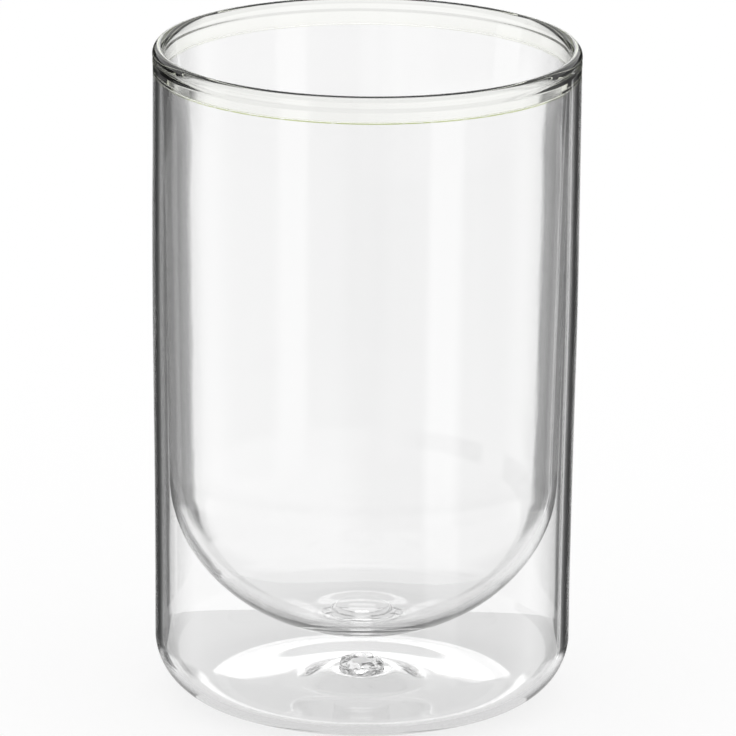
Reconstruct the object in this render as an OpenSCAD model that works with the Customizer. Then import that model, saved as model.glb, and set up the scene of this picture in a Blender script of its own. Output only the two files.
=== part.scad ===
// Double walled drinking glass: two thin blown walls, one inside the other, melted together at the lip.
// The origin is on the table under the middle of the glass, and +Z runs up its axis.
// Every piece is a turned profile, drawn as [radius, height] and spun about the axis.

/* [Cup] */
// Height from the table to the top of the lip
cup_h = 125; // [105:1:150]
// Diameter across the lip
lip_d = 80; // [74:0.5:90]
// How much the outer wall's radius shrinks towards the foot
side_taper = 0.75; // [0:0.05:3]
// Height over the foot's rounding by which the wall has its full width
taper_h = 81; // [60:1:90]
// Thickness of the outer wall
outer_wall = 1.35; // [1:0.05:2]

/* [Foot] */
// Radius of the rounded foot, outside
foot_r = 11.5; // [7:0.5:15]
// Width of the flat ring that stands on the table
stand_w = 2.2; // [1.5:0.1:4]
// Thickness of the glass across the base
base_wall = 1.5; // [1.1:0.05:2.2]
// How far the base rises towards the punt
base_rise = 0.7; // [0.2:0.1:2]
// Diameter of the punt, the pushed-up middle of the base
punt_d = 25; // [22:0.5:32]
// Height that the punt adds
punt_h = 2.6; // [1:0.1:3]

/* [Vent] */
// Diameter of the hole through the punt, where the space between the walls was vented
vent_d = 4; // [3:0.1:5]
// Diameter of the glass drop that seals the hole
seal_d = 8.4; // [7:0.1:10]
// Height of the drop above the punt
seal_h = 1.8; // [1.2:0.1:3]
// How far the drop sags below the punt's underside
seal_sag = 0.7; // [0.3:0.1:1]

/* [Bowl] */
// Thickness of the inner wall
inner_wall = 1.3; // [1:0.05:2]
// Air gap between the walls where the lip starts to flare
gap_top = 0.9; // [0.7:0.05:2]
// Air gap between the walls where the bowl starts to round in
gap_low = 1.6; // [1.2:0.05:4]
// Height of the bowl's underside above the table
bowl_clear = 12; // [10.5:0.5:20]
// Height of the rounded end of the bowl
dome_h = 30.7; // [24:0.5:36]
// Thickness of the wall at the rounded end, before the floor pools
dome_wall = 1.5; // [1.2:0.05:2]
// Thickness of glass across the middle of the floor, where it pools, without the hump
bowl_floor = 2.5; // [1.8:0.1:4]
// How softly the wall runs into the pooled floor
pool_blend = 1.5; // [0.5:0.1:3]
// Height of the soft hump in the middle of the floor
hump_h = 1.5; // [0.5:0.1:2.5]
// Diameter of the hump, from trough to trough
hump_d = 23; // [16:0.5:30]
// Diameter of the drop left where the bowl's end was melted shut
drop_d = 11.6; // [8:0.1:14]
// Depth of that drop
drop_h = 1.5; // [0.8:0.1:2.2]

/* [Lip] */
// Thickness of the rounded lip
lip_w = 2.3; // [2:0.05:3]
// Height of the bead, from the weld line to the top
lip_h = 2.5; // [2:0.1:4]
// How far the bead stands out from the wall below it
lip_proud = 0.06; // [0.05:0.01:0.4]
// Depth of the weld line under the bead
weld_groove = 0.12; // [0.05:0.01:0.3]
// Height of solid glass from the weld line down to the air gap
neck_h = 2.5; // [1.5:0.1:5]
// Length of the stretch over which the bowl flares out to the lip
flare_h = 18; // [10:1:24]
// Width of the slot at the very top of the air gap
crown_gap = 0.3; // [0.2:0.05:0.5]

/* [Hidden] */
$fn = 96;

// Number of straight steps in each curved stretch of a profile
steps = 14;

// Outer wall
wall_top_r = lip_d / 2 - lip_proud;
wall_foot_r = wall_top_r - side_taper;
stand_out_r = wall_foot_r - foot_r;
stand_in_r = stand_out_r - stand_w;

// Base
punt_r = punt_d / 2;
vent_r = vent_d / 2;
seal_r = seal_d / 2;
punt_top = base_rise + punt_h;

// Lip
weld_z = cup_h - lip_h;
neck_z = weld_z - neck_h;
bead_r = lip_d / 2 - lip_w / 2;
// Share of the bead's height that is its round top, and how far round its sides the round goes
bead_round_share = 0.6;
bead_top_h = lip_h * bead_round_share;
bead_z = cup_h - bead_top_h;
bead_lean = 10;
bead_in_r = bead_r - lip_w / 2 * cos(bead_lean);
bead_in_z = bead_z - bead_top_h * sin(bead_lean);

// Bowl
dome_z = bowl_clear + dome_h;
flare_z = neck_z - flare_h;
dome_r = outer_r(dome_z) - outer_wall - gap_low;
flare_r = outer_r(flare_z) - outer_wall - gap_top;
bowl_lean = (flare_r - dome_r) / (flare_z - dome_z);
crown_r = outer_r(neck_z) - outer_wall - crown_gap;
lip_flare = bead_in_r - (bowl_line(bead_in_z) - inner_wall);
inside_dome_r = dome_r - inner_wall;
inside_dome_h = dome_h - dome_wall;
pool_z = bowl_clear + bowl_floor;
drop_r = drop_d / 2;
drop_z = dome_z - dome_h * sqrt(1 - pow(drop_r / dome_r, 2));
hump_r = hump_d / 2;

// Radius of the outer wall's outside at height z
function outer_r(z) = wall_foot_r + side_taper * soft((z - foot_r) / taper_h);

// Radius of the bowl's straight, slightly tapered side, outside, at height z
function bowl_line(z) = dome_r + bowl_lean * (z - dome_z);

// Radius of the inside of the glass at height z, from the straight side through the flare to the bead
function inside_r(z) = bowl_line(z) - inner_wall + lip_flare * pow(flare_share(z, bead_in_z), 2);

// Radius of the bowl's outside in the flare, which closes on the outer wall at the neck
function crown_side_r(z) = bowl_line(z) + (crown_r - bowl_line(neck_z)) * pow(flare_share(z, neck_z), 2);

// Share of the way from the start of the flare to the height top
function flare_share(z, top) = max(0, (z - flare_z) / (top - flare_z));

// Soft step from 0 to 1
function soft(t) = (1 - cos(180 * min(1, max(0, t)))) / 2;

// Height of the base's underside at radius r: a gentle rise, then the punt with a flat middle under the seal
function under_z(r) = base_rise * soft((stand_in_r - r) / (stand_in_r - punt_r))
    + punt_h * soft((punt_r - r) / (punt_r - seal_r));

// Height of the bowl's inside at radius r: a half ellipse that runs softly into the pooled floor and its hump
function floor_z(r) = let (
    bowl = dome_z - inside_dome_h * sqrt(max(0, 1 - pow(r / inside_dome_r, 2))),
    pool = pool_z + hump_h * soft(1 - r / hump_r))
    (bowl + pool + norm([bowl - pool, pool_blend])) / 2;

// Points along part of an ellipse, from angle a to angle b
function curve(c, rx, rz, a, b) =
    [for (i = [0 : steps]) let (t = a + (b - a) * i / steps) c + [rx * cos(t), rz * sin(t)]];

// Points from radius or height a to b, both ends included
function spread(a, b, n = steps) = [for (i = [0 : n]) a + (b - a) * i / n];

// A list without its first point, to carry on from the stretch before it
function onward(points) = [for (i = [1 : len(points) - 1]) points[i]];

// Solid of revolution from a profile
module spun(profile) {
    rotate_extrude() polygon(profile);
}

// Outer wall, rounded foot and base, one blown shell with the vent hole through its punt
module outer_shell() {
    outside = curve([stand_out_r, foot_r], foot_r, foot_r, 0, -90);
    underside = [for (r = concat(spread(stand_in_r, punt_r), onward(spread(punt_r, seal_r))))
        [r, under_z(r)]];
    upside = [for (i = [len(underside) - 1 : -1 : 0]) underside[i] + [0, base_wall]];
    inside = curve([stand_out_r, foot_r], foot_r - outer_wall, foot_r - base_wall, -90, 0);
    wall_outside = [for (z = spread(neck_z, foot_r)) [outer_r(z), z]];
    wall_inside = [for (z = onward(spread(foot_r, neck_z))) [outer_r(z) - outer_wall, z]];
    color([0.86, 0.91, 0.86, 0.4])
        spun(concat(
            wall_outside,
            onward(outside),
            underside,
            [[vent_r, punt_top], [vent_r, punt_top + base_wall]],
            upside,
            inside,
            wall_inside));
}

// Inner wall and rounded floor, which hold the drink
module inner_bowl() {
    flare = [for (z = spread(neck_z, flare_z)) [crown_side_r(z), z]];
    dome = [for (t = spread(0, acos(drop_r / dome_r)))
        [dome_r * cos(t), dome_z - dome_h * sin(t)]];
    floor_line = [for (t = spread(90, 0, 3 * steps)) let (r = inside_dome_r * cos(t)) [r, floor_z(r)]];
    mouth = [for (z = spread(flare_z, neck_z)) [inside_r(z), z]];
    color([0.9, 0.94, 0.92, 0.4])
        spun(concat(flare, dome, [[0, drop_z]], floor_line, mouth));
}

// Fire-polished lip and the solid neck under it, where both walls run into one
module rim_bead() {
    bead_outer = curve([bead_r, bead_z], lip_w / 2, bead_top_h, 0, 90);
    bead_inner = onward(curve([bead_r, bead_z], lip_w / 2, bead_top_h, 90, 180 + bead_lean));
    inside = [for (z = onward(spread(bead_in_z, neck_z))) [inside_r(z), z]];
    slot_r = outer_r(neck_z) - outer_wall;
    crown = curve([(crown_r + slot_r) / 2, neck_z], (slot_r - crown_r) / 2, (slot_r - crown_r) / 2, 180, 0);
    color([0.74, 0.8, 0.6, 0.55])
        spun(concat(
            [[outer_r(neck_z), neck_z], [outer_r(weld_z), weld_z - weld_groove]],
            [[outer_r(weld_z) - weld_groove, weld_z]],
            bead_outer,
            bead_inner,
            inside,
            crown));
}

// Drop of glass under the middle of the bowl, where the blown end was melted shut
module bowl_drop() {
    color([0.9, 0.94, 0.92, 0.5])
        spun(concat([[0, drop_z]], curve([0, drop_z], drop_r, drop_h, 0, -90)));
}

// Drop of glass melted through the vent hole, with a button above and a small sag below
module vent_seal() {
    top = punt_top + base_wall;
    color([0.82, 0.88, 0.84, 0.5])
        spun(concat(
            curve([0, top], seal_r, seal_h, 90, 0),
            [[vent_r, top]],
            curve([0, punt_top], vent_r, seal_sag, 0, -90)));
}

outer_shell();
inner_bowl();
rim_bead();
bowl_drop();
vent_seal();
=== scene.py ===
"""A double walled drinking glass on a pale table, in clear borosilicate."""

import math

import bmesh
import bpy
import numpy as np
from mathutils import Matrix, Vector, noise


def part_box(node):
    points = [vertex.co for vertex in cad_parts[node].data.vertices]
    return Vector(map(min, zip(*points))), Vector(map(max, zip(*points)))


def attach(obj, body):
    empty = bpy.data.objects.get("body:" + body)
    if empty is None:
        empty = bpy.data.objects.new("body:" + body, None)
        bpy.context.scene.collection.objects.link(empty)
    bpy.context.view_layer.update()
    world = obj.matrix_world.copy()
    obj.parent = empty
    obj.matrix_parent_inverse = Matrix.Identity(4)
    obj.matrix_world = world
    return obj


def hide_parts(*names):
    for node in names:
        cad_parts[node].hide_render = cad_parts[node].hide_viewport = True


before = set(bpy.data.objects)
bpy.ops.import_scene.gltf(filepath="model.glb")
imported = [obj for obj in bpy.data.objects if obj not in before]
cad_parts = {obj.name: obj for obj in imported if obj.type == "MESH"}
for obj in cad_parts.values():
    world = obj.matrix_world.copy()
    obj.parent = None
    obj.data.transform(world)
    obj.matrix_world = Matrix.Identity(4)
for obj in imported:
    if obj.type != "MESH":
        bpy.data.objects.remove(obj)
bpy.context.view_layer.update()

mm = 0.001

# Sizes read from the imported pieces, in metres
lip_low, lip_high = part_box("rim_bead")
bowl_low, bowl_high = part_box("inner_bowl")
drop_low, drop_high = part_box("bowl_drop")
seal_low, seal_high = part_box("vent_seal")
cup_h = lip_high.z
lip_r = lip_high.x
neck_z = lip_low.z
crown_r = bowl_high.x
drop_r = drop_high.x
drop_z = drop_high.z
drop_h = drop_high.z - drop_low.z
seal_r = seal_high.x

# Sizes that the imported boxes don't give
outer_wall = 1.35 * mm
inner_wall = 1.3 * mm
side_taper = 0.75 * mm
taper_h = 81 * mm
foot_r = 11.5 * mm
stand_w = 2.2 * mm
base_wall = 1.5 * mm
base_rise = 0.7 * mm
punt_r = 12.5 * mm
punt_h = 2.6 * mm
vent_r = 2 * mm
seal_sag = 0.7 * mm
gap_top = 0.9 * mm
gap_low = 1.6 * mm
bowl_clear = 12 * mm
dome_h = 30.7 * mm
dome_wall = 1.5 * mm
bowl_floor = 2.5 * mm
pool_blend = 1.5 * mm
hump_h = 1.5 * mm
hump_r = 11.5 * mm
lip_w = 2.3 * mm
lip_h = 2.5 * mm
lip_proud = 0.06 * mm
weld_groove = 0.12 * mm
flare_h = 18 * mm
bead_round_share = 0.6
bead_lean = 10

# Radii and heights worked out from them
wall_foot_r = lip_r - lip_proud - side_taper
stand_out_r = wall_foot_r - foot_r
stand_in_r = stand_out_r - stand_w
punt_top = base_rise + punt_h
seal_z = punt_top + base_wall
seal_h = seal_high.z - seal_z
weld_z = cup_h - lip_h
flare_z = neck_z - flare_h
bead_r = lip_r - lip_w / 2
bead_top_h = lip_h * bead_round_share
bead_z = cup_h - bead_top_h
bead_in_r = bead_r - lip_w / 2 * math.cos(math.radians(bead_lean))
bead_in_z = bead_z - bead_top_h * math.sin(math.radians(bead_lean))
dome_z = bowl_clear + dome_h


def soft(t):
    """Soft step from 0 to 1."""
    return (1 - math.cos(math.pi * min(1.0, max(0.0, t)))) / 2


def outer_r(z):
    """Outside radius of the outer wall at height z."""
    return wall_foot_r + side_taper * soft((z - foot_r) / taper_h)


dome_r = outer_r(dome_z) - outer_wall - gap_low
flare_r = outer_r(flare_z) - outer_wall - gap_top
bowl_lean = (flare_r - dome_r) / (flare_z - dome_z)
inside_dome_r = dome_r - inner_wall
inside_dome_h = dome_h - dome_wall
pool_z = bowl_clear + bowl_floor


def bowl_line(z):
    """Outside radius of the bowl's straight side at height z."""
    return dome_r + bowl_lean * (z - dome_z)


lip_flare = bead_in_r - (bowl_line(bead_in_z) - inner_wall)


def inside_r(z):
    """Radius of the inside of the glass, from the straight side through the flare to the bead."""
    share = max(0.0, (z - flare_z) / (bead_in_z - flare_z))
    return bowl_line(z) - inner_wall + lip_flare * share**2


def crown_side_r(z):
    """Outside radius of the bowl in the flare, where the air gap closes."""
    share = max(0.0, (z - flare_z) / (neck_z - flare_z))
    return bowl_line(z) + (crown_r - bowl_line(neck_z)) * share**2


def under_z(r):
    """Height of the base's underside at radius r."""
    rise = base_rise * soft((stand_in_r - r) / (stand_in_r - punt_r))
    return rise + punt_h * soft((punt_r - r) / (punt_r - seal_r))


def floor_z(r):
    """Height of the bowl's floor, inside, at radius r."""
    bowl = dome_z - inside_dome_h * math.sqrt(max(0.0, 1 - (r / inside_dome_r) ** 2))
    pool = pool_z + hump_h * soft(1 - r / hump_r)
    return (bowl + pool + math.hypot(bowl - pool, pool_blend)) / 2


def spread(a, b, n):
    """n + 1 even steps from a to b."""
    return [a + (b - a) * i / n for i in range(n + 1)]


def curve(r, z, rx, rz, a, b, n):
    """Points along part of an ellipse, angles in degrees."""
    angles = [math.radians(t) for t in spread(a, b, n)]
    return [(r + rx * math.cos(t), z + rz * math.sin(t)) for t in angles]


def shell_outline():
    outside = [(outer_r(z), z) for z in spread(neck_z, foot_r, 40)]
    foot = curve(stand_out_r, foot_r, foot_r, foot_r, 0, -90, 28)[1:]
    radii = spread(stand_in_r, punt_r, 12) + spread(punt_r, seal_r, 16)[1:] + spread(seal_r, vent_r, 2)[1:]
    under = [(r, under_z(r)) for r in radii]
    over = [(r, z + base_wall) for r, z in reversed(under)]
    inner_foot = curve(stand_out_r, foot_r, foot_r - outer_wall, foot_r - base_wall, -90, 0, 28)
    inside = [(outer_r(z) - outer_wall, z) for z in spread(foot_r, neck_z, 40)][1:]
    return outside + foot + under + over + inner_foot + inside


def bowl_outline():
    flare = [(crown_side_r(z), z) for z in spread(neck_z, flare_z, 20)]
    side = [(bowl_line(z), z) for z in spread(flare_z, dome_z, 30)][1:]
    end = math.degrees(math.acos(drop_r / dome_r))
    dome = curve(0, dome_z, dome_r, dome_h, 0, -end, 48)[1:]
    radii = [inside_dome_r * math.cos(math.radians(t)) for t in spread(90, 0, 96)]
    floor = [(0.0, floor_z(0))] + [(r, floor_z(r)) for r in radii[1:]]
    wall = [(inside_r(z), z) for z in spread(dome_z, neck_z, 60)][1:]
    return flare + side + dome + [(0.0, drop_z)] + floor + wall


def bead_outline():
    neck = [(outer_r(z), z) for z in spread(neck_z, weld_z - weld_groove, 6)]
    groove = [(outer_r(weld_z) - weld_groove, weld_z)]
    bead = curve(bead_r, bead_z, lip_w / 2, bead_top_h, 0, 180 + bead_lean, 48)
    inside = [(inside_r(z), z) for z in spread(bead_in_z, neck_z, 16)][1:]
    slot_r = outer_r(neck_z) - outer_wall
    crown = curve((crown_r + slot_r) / 2, neck_z, (slot_r - crown_r) / 2, (slot_r - crown_r) / 2, 180, 0, 8)
    return neck + groove + bead + inside + crown


def drop_outline():
    return [(0.0, drop_z)] + curve(0, drop_z, drop_r, drop_h, 0, -90, 24)[:-1] + [(0.0, drop_z - drop_h)]


def seal_outline():
    button = [(0.0, seal_z + seal_h)] + curve(0, seal_z, seal_r, seal_h, 90, 0, 32)[1:]
    sag = curve(0, punt_top, vent_r, seal_sag, 0, -90, 16)[:-1] + [(0.0, punt_top - seal_sag)]
    return button + [(vent_r, seal_z)] + sag


def on_weld(r, z, plane):
    """True where points lie on one of the four faces at which two pieces are melted together."""
    near = 0.004 * mm
    return [
        abs(z - neck_z) < near,
        (abs(z - drop_z) < near) & (r < drop_r + near),
        (abs(z - seal_z) < near) & (r > vent_r - near) & (r < seal_r + near),
        (abs(r - vent_r) < near) & (z > punt_top - near) & (z < seal_z + near),
    ][plane]


segments = 192


def turned(name, outline, glass, weld):
    """A closed solid of revolution from an outline of (radius, height) points."""
    bm = bmesh.new()
    verts = [bm.verts.new((r, 0.0, z)) for r, z in outline]
    pairs = list(zip(verts, verts[1:] + verts[:1]))
    edges = [bm.edges.new(pair) for pair in pairs if max(pair[0].co.x, pair[1].co.x) > 1e-9]
    bmesh.ops.spin(
        bm, geom=verts + edges, cent=(0, 0, 0), axis=(0, 0, 1), dvec=(0, 0, 0),
        angle=2 * math.pi, steps=segments, use_merge=True, use_duplicate=False,
    )
    bmesh.ops.remove_doubles(bm, verts=bm.verts, dist=1e-7)
    bmesh.ops.recalc_face_normals(bm, faces=bm.faces)
    mesh = bpy.data.meshes.new(name)
    bm.to_mesh(mesh)
    bm.free()
    mesh.materials.append(glass)
    mesh.materials.append(weld)
    mark_welds(mesh)
    piece = bpy.data.objects.new(name, mesh)
    bpy.context.scene.collection.objects.link(piece)
    return piece


def mark_welds(mesh):
    """Gives the faces on melted joints their own material, with a sharp edge round them and smooth glass elsewhere."""
    points = np.empty(3 * len(mesh.vertices))
    mesh.vertices.foreach_get("co", points)
    points = points.reshape(-1, 3)
    radius, height = np.hypot(points[:, 0], points[:, 1]), points[:, 2]
    planes = [on_weld(radius, height, plane) for plane in range(4)]
    corners = np.empty(len(mesh.loops), dtype=np.int32)
    mesh.loops.foreach_get("vertex_index", corners)
    starts = np.empty(len(mesh.polygons), dtype=np.int32)
    mesh.polygons.foreach_get("loop_start", starts)
    welded = sum(np.minimum.reduceat(plane[corners].astype(int), starts) for plane in planes) > 0
    mesh.polygons.foreach_set("material_index", welded.astype(np.int32))
    mesh.polygons.foreach_set("use_smooth", np.ones(len(welded), dtype=bool))
    sides = np.empty(len(mesh.loops), dtype=np.int32)
    mesh.loops.foreach_get("edge_index", sides)
    counts = np.diff(np.append(starts, len(corners)))
    face_welded = np.repeat(welded, counts).astype(int)
    total = np.bincount(sides, weights=face_welded, minlength=len(mesh.edges))
    mesh.edges.foreach_set("use_edge_sharp", total == 1)
    mesh.update()


def linear(hex_colour):
    """Linear colour from an sRGB hex value."""
    channels = [int(hex_colour[i:i + 2], 16) / 255 for i in (1, 3, 5)]
    return [c / 12.92 if c <= 0.04045 else ((c + 0.055) / 1.055) ** 2.4 for c in channels] + [1.0]


def add(tree, kind, settings=(), inputs=()):
    """Adds a node. settings are its own properties; inputs are values, or outputs to link from."""
    node = tree.nodes.new(kind)
    for key, value in dict(settings).items():
        setattr(node, key, value)
    for key, value in dict(inputs).items():
        if isinstance(value, bpy.types.NodeSocket):
            tree.links.new(value, node.inputs[key])
        else:
            node.inputs[key].default_value = value
    return node


def new_material(name):
    material = bpy.data.materials.new(name)
    material.use_nodes = True
    material.node_tree.nodes.clear()
    return material, material.node_tree


def ripple(tree, size, depth, stretch, under=None):
    """Bump that follows noise of the given wave size and depth, drawn out along the axis by the factor stretch."""
    where = add(tree, "ShaderNodeTexCoord")
    drawn = add(tree, "ShaderNodeMapping", inputs={"Vector": where.outputs["Object"], "Scale": (1, 1, 1 / stretch)})
    noise = add(tree, "ShaderNodeTexNoise", inputs={
        "Vector": drawn.outputs[0], "Scale": 1 / size, "Detail": 2.0, "Roughness": 0.5})
    bump = {"Height": noise.outputs[0], "Strength": 1.0, "Distance": depth}
    if under:
        bump["Normal"] = under
    return add(tree, "ShaderNodeBump", inputs=bump).outputs[0]


def clear_glass(name, tint, fine, wave):
    """Fire-polished borosilicate: fine draw ripples over long, shallow waves from blowing."""
    material, tree = new_material(name)
    waves = ripple(tree, 14 * mm, wave, 3)
    ripples = ripple(tree, 0.9 * mm, fine, 1.2, waves)
    shader = add(tree, "ShaderNodeBsdfPrincipled", inputs={
        "Base Color": linear(tint), "Roughness": 0.0, "IOR": 1.473, "Transmission Weight": 1.0, "Normal": ripples})
    add(tree, "ShaderNodeOutputMaterial", inputs={"Surface": shader.outputs[0]})
    return material


def olive_glass(name):
    """The thick lip: the same glass, whose olive body colour shows where the eye looks along the ring."""
    material, tree = new_material(name)
    where = add(tree, "ShaderNodeTexCoord")
    axes = add(tree, "ShaderNodeSeparateXYZ", inputs={0: where.outputs["Object"]})
    above = add(tree, "ShaderNodeMath", {"operation": "GREATER_THAN"}, {0: axes.outputs["Z"], 1: neck_z + 0.01 * mm})
    waves = ripple(tree, 14 * mm, 0.05 * mm, 1)
    shader = add(tree, "ShaderNodeBsdfPrincipled", inputs={
        "Base Color": linear("#ffffff"), "Roughness": 0.0, "IOR": 1.473, "Transmission Weight": 1.0,
        "Alpha": above.outputs[0], "Normal": waves})
    body = add(tree, "ShaderNodeVolumeAbsorption", inputs={"Color": linear("#d2dc7a"), "Density": 20.0})
    add(tree, "ShaderNodeOutputMaterial", inputs={"Surface": shader.outputs[0], "Volume": body.outputs[0]})
    return material


def melted_joint():
    material, tree = new_material("melted_joint")
    shader = add(tree, "ShaderNodeBsdfPrincipled", inputs={"Alpha": 0.0})
    add(tree, "ShaderNodeOutputMaterial", inputs={"Surface": shader.outputs[0]})
    return material


def table_top():
    """Matt white laminate. The camera sees it as white, with the glass's faint shadow, and the glass a shade darker."""
    material, tree = new_material("white_laminate")
    rays = add(tree, "ShaderNodeLightPath")
    glow_level = add(tree, "ShaderNodeMix", {"data_type": "FLOAT"}, {0: rays.outputs["Is Camera Ray"], 2: 0.6, 3: 0.8})
    matt = add(tree, "ShaderNodeBsdfDiffuse", inputs={"Color": linear("#7c7c7c")})
    glow = add(tree, "ShaderNodeEmission", inputs={"Color": (1, 1, 1, 1), "Strength": glow_level.outputs[0]})
    both = add(tree, "ShaderNodeAddShader", inputs={0: matt.outputs[0], 1: glow.outputs[0]})
    add(tree, "ShaderNodeOutputMaterial", inputs={"Surface": both.outputs[0]})
    return material


def flat_floor(name, low, high, z):
    """A flat white sheet between two corners."""
    mesh = bpy.data.meshes.new(name)
    corners = [(low[0], low[1], z), (high[0], low[1], z), (high[0], high[1], z), (low[0], high[1], z)]
    mesh.from_pydata(corners, [], [(0, 1, 2, 3)])
    floor = bpy.data.objects.new(name, mesh)
    bpy.context.scene.collection.objects.link(floor)
    mesh.materials.append(laminate)
    return floor


def studio_world():
    """White all round to the camera. Glass sees a pale studio with a lit backdrop between dark flags per view."""
    world = bpy.data.worlds.new("studio")
    bpy.context.scene.world = world
    world.use_nodes = True
    tree = world.node_tree
    tree.nodes.clear()
    where = add(tree, "ShaderNodeTexCoord")
    axes = add(tree, "ShaderNodeSeparateXYZ", inputs={0: where.outputs["Generated"]})
    turn = add(tree, "ShaderNodeMath", {"operation": "ARCTAN2"}, {0: axes.outputs["Y"], 1: axes.outputs["X"]})
    climb = add(tree, "ShaderNodeMath", {"operation": "ARCSINE"}, {0: axes.outputs["Z"]})
    level = ambient
    for azimuth, low, high, flags in backdrops:
        off = add(tree, "ShaderNodeMath", {"operation": "SUBTRACT"}, {0: turn.outputs[0], 1: math.radians(azimuth)})
        wrap = add(tree, "ShaderNodeMath", {"operation": "WRAP"}, {0: off.outputs[0], 1: math.pi, 2: -math.pi})
        away = add(tree, "ShaderNodeMath", {"operation": "ABSOLUTE"}, {0: wrap.outputs[0]})
        share = add(tree, "ShaderNodeMath", {"operation": "DIVIDE"}, {0: away.outputs[0], 1: math.pi})
        ramp = add(tree, "ShaderNodeFloatCurve", inputs={"Value": share.outputs[0]})
        points = ramp.mapping.curves[0].points
        points[0].location = (0, flags[0][1] / ambient_top)
        points[1].location = (1, flags[-1][1] / ambient_top)
        for angle, value in flags[1:-1]:
            points.new(angle / 180, value / ambient_top)
        for point in points:
            point.handle_type = "VECTOR"
        ramp.mapping.update()
        above = add(tree, "ShaderNodeMapRange", {"interpolation_type": "SMOOTHSTEP"}, {
            "Value": climb.outputs[0], "From Min": math.radians(low - 1), "From Max": math.radians(low + 1)})
        below = add(tree, "ShaderNodeMapRange", {"interpolation_type": "SMOOTHSTEP"}, {
            "Value": climb.outputs[0], "From Min": math.radians(high + 1), "From Max": math.radians(high - 1)})
        band = add(tree, "ShaderNodeMath", {"operation": "MULTIPLY"}, {0: above.outputs[0], 1: below.outputs[0]})
        card = add(tree, "ShaderNodeMix", {"data_type": "FLOAT"},
                   {0: band.outputs[0], 2: 1.0 / ambient_top, 3: ramp.outputs[0]})
        scaled = add(tree, "ShaderNodeMath", {"operation": "MULTIPLY"}, {0: card.outputs[0], 1: level})
        level = scaled.outputs[0]
        gain = add(tree, "ShaderNodeMath", {"operation": "MULTIPLY"}, {0: level, 1: ambient_top})
        level = gain.outputs[0]
    rays = add(tree, "ShaderNodeLightPath")
    sharp = add(tree, "ShaderNodeMath", {"operation": "MAXIMUM"},
                {0: rays.outputs["Is Glossy Ray"], 1: rays.outputs["Is Transmission Ray"]})
    mix = add(tree, "ShaderNodeMix", {"data_type": "FLOAT"}, {0: sharp.outputs[0], 2: 1.0, 3: level})
    light = add(tree, "ShaderNodeBackground", inputs={"Color": (1, 1, 1, 1), "Strength": mix.outputs[0]})
    add(tree, "ShaderNodeOutputWorld", inputs={"Surface": light.outputs[0]})


def photo_camera():
    """The camera of the photograph: long lens, from a little above."""
    camera_data = bpy.data.cameras.new("photo_camera")
    camera_data.sensor_width = 36
    camera_data.lens = 8130 / 736 * 36
    camera_data.clip_start = 0.01
    camera_data.clip_end = 20
    camera = bpy.data.objects.new("photo_camera", camera_data)
    bpy.context.scene.collection.objects.link(camera)
    place = Matrix.Translation((0.65 * mm, -1467 * mm, 481.8 * mm))
    tilt = Matrix.Rotation(math.radians(90) - 0.2782, 4, "X")
    roll = Matrix.Rotation(0.0096, 4, "Z")
    camera.matrix_world = place @ tilt @ roll
    bpy.context.scene.camera = camera


ambient = 0.95
ambient_top = 8.0

# For each backdrop: its azimuth, the lowest and highest angle it fills, and (angle off it, level over the ambient)
strong = [(0, 1.03), (9.2, 1.03), (10.4, 0.04), (25, 0.05), (31, 0.22), (48, 0.26), (60, 0.7), (72, 1.1), (180, 1.0)]
gentle = [(0, 1.1), (8.3, 1.1), (11, 0.6), (40, 0.6), (60, 1.0), (180, 1.0)]
narrow = [(0, 1.04), (9.2, 1.04), (10.4, 0.1), (22, 0.1), (28, 0.9), (180, 1.0)]
strip = [(0, 6.0), (0.9, 6.0), (1.8, 1.0), (180, 1.0)]
softbox = [(0, 2.6), (7, 2.6), (10, 1.0), (180, 1.0)]
backdrops = [
    (90, -21, -9, strong),
    (54, -21, -9, strip),
    (315, -21, -9, gentle),
    (135, -34, -21, narrow),
    (90, -9, 6, strong),
    (180, -9, 6, strong),
    (90, 8, 17, softbox),
]

wall_glass = clear_glass("blown_wall_glass", "#fefefe", 0.0008 * mm, 0.02 * mm)
bowl_glass = clear_glass("blown_bowl_glass", "#fefefe", 0.0015 * mm, 0.03 * mm)
drop_glass = clear_glass("melted_drop_glass", "#fefefe", 0.004 * mm, 0.3 * mm)
lip_glass = olive_glass("olive_lip_glass")
weld = melted_joint()

pieces = {
    "outer_shell": turned("outer_shell_glass", shell_outline(), wall_glass, weld),
    "inner_bowl": turned("inner_bowl_glass", bowl_outline(), bowl_glass, weld),
    "rim_bead": turned("rim_bead_glass", bead_outline(), lip_glass, lip_glass),
    "bowl_drop": turned("bowl_drop_glass", drop_outline(), drop_glass, weld),
    "vent_seal": turned("vent_seal_glass", seal_outline(), drop_glass, weld),
}


def crumple(piece, low, depth, size):
    """Moves the points above a height by noise, as a drop that set while it was being pressed."""
    for vert in piece.data.vertices:
        rise = min(1.0, max(0.0, (vert.co.z - low) / depth))
        shift = noise.noise_vector(vert.co / size) * depth * rise
        vert.co += Vector((shift.x, shift.y, -abs(shift.z)))


crumple(pieces["vent_seal"], seal_z, 0.7 * mm, 2.2 * mm)

for node, piece in pieces.items():
    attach(piece, "root")
    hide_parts(node)

laminate = table_top()
riser = flat_floor("riser", (-43 * mm, -60 * mm), (43 * mm, 46 * mm), 0)
table = flat_floor("table", (-600 * mm, -600 * mm), (600 * mm, 600 * mm), -0.05 * mm)
table.visible_transmission = False
table.visible_glossy = False

studio_world()
photo_camera()

scene = bpy.context.scene
scene.view_settings.view_transform = "Standard"
scene.cycles.max_bounces = 32
scene.cycles.transmission_bounces = 32
scene.cycles.glossy_bounces = 16
scene.cycles.transparent_max_bounces = 32
